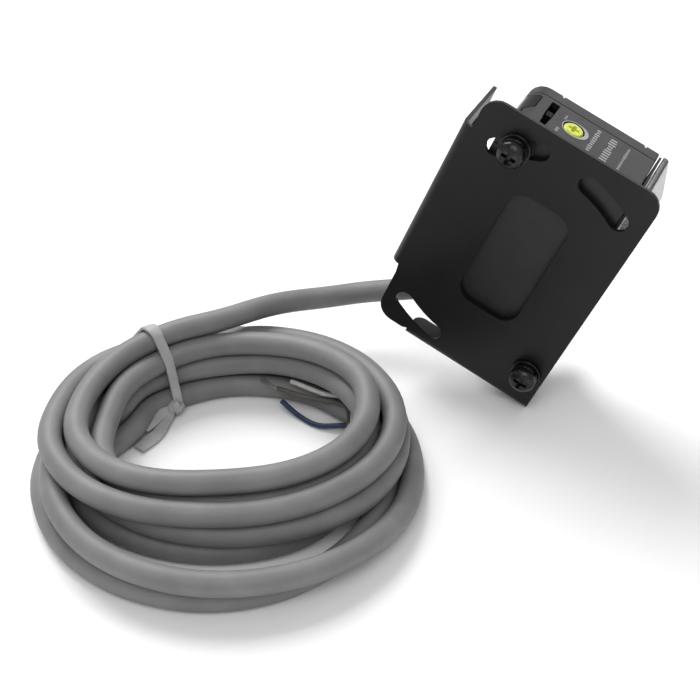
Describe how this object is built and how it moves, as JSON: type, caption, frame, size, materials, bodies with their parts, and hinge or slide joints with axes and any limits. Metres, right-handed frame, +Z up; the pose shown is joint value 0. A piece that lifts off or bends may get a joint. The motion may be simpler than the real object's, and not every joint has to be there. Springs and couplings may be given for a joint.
{
  "type": "photoelectric sensor",
  "caption": "Box-shaped photoelectric sensor with a built-in amplifier, bolted to a slotted black adjusting bracket, leaning on its coiled grey cable.",
  "frame": {"origin": "centre of the footprint of the sensor and its bracket, on the surface they stand on, the free cable left out", "axes": "-Y out of the bracket's flat face; +Z up; +X toward the lens side, which leans down by 22.2 degrees about Y"},
  "size_m": [0.1329, 0.1304, 0.0863],
  "materials": {
    "coated_steel": "satin black coating",
    "black_steel": "black oxide",
    "plated_steel": "zinc plated",
    "grey_plastic": "fine moulded texture",
    "black_plastic": "satin",
    "smoked_plastic": "smoked, see-through",
    "clear_plastic": "clear moulded acrylic",
    "lens_plastic": "clear moulded acrylic",
    "adjuster_plastic": "satin",
    "circuit_board": "solder mask",
    "chip_resin": "moulded resin",
    "led_resin": "moulded resin",
    "rubber": "matte",
    "cable_jacket": "soft matte vinyl",
    "tie_nylon": "satin",
    "white_wire": "satin",
    "brown_wire": "satin",
    "blue_wire": "satin"
  },
  "bodies": {
    "sensor": {"pivot_screw": "black_steel", "clamp_screw": "black_steel", "pivot_spring_washer": "black_steel", "clamp_spring_washer": "black_steel", "pivot_washer": "black_steel", "clamp_washer": "black_steel", "pivot_far_washer": "plated_steel", "clamp_far_washer": "plated_steel", "pivot_nut": "plated_steel", "clamp_nut": "plated_steel", "case": "grey_plastic", "side_cover": "grey_plastic", "indicator_window": "smoked_plastic", "lens_cover": "clear_plastic", "cover_seal": "rubber", "optics_holder": "black_plastic", "transmitting_lens": "lens_plastic", "receiving_lens": "lens_plastic", "optics_board": "circuit_board", "light_source": "led_resin", "photodiode": "chip_resin", "receiver_shield": "plated_steel", "main_board": "circuit_board", "processor": "chip_resin", "output_transistor": "chip_resin", "wire_terminal": "black_plastic", "capacitor": "plated_steel", "trimmer": "chip_resin", "selector_switch": "chip_resin", "operation_led": "led_resin", "stability_led": "led_resin", "cable_gland": "rubber", "cable_lead": "cable_jacket", "cable_coil": "cable_jacket", "cable_tie": "tie_nylon", "tie_tail": "tie_nylon", "wire_white": "white_wire", "wire_brown": "brown_wire", "wire_blue": "blue_wire"},
    "bracket": {"bracket": "coated_steel"},
    "adjuster": {"adjuster": "adjuster_plastic"},
    "selector": {"selector_slider": "black_plastic"}
  },
  "joints": [
    {"name": "bracket_tilt", "type": "hinge", "parent": "sensor", "child": "bracket", "pos_m": [0.00696, -0.01098, 0.01217], "axis": [0, 1, 0], "range_deg": [-5, 4]},
    {"name": "adjuster_turn", "type": "hinge", "parent": "sensor", "child": "adjuster", "pos_m": [0.00997, -0.00058, 0.07779], "axis": [0.3778, 0, 0.9259], "range_deg": [-120, 120]},
    {"name": "selector_slide", "type": "slide", "parent": "sensor", "child": "selector", "axis": [0, 1, 0], "range_m": [0, 0.002]}
  ]
}
